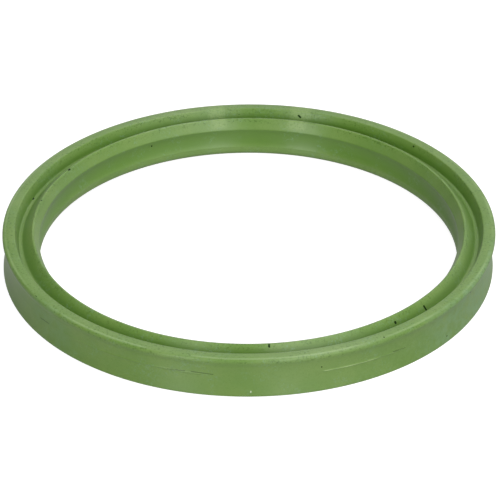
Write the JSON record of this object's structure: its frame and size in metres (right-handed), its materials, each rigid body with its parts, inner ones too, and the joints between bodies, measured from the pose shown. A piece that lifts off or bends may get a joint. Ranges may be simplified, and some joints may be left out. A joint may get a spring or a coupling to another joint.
{
  "type": "heat exchanger gasket",
  "caption": "Green moulded rubber gasket ring with a crowned sealing lip, a valley and a ridge on top, a waisted outer wall and a hollow inner wall over the bore.",
  "frame": {"origin": "centre of the ring at its flat underside", "axes": "+Z along the ring's axis, from the flat underside towards the sealing lip"},
  "size_m": [0.11, 0.11, 0.0095],
  "materials": {
    "gasket": "matt moulded elastomer, dull green, with a faint pale bloom and a few dark specks"
  },
  "bodies": {
    "root": {"gasket": "gasket"}
  },
  "joints": []
}
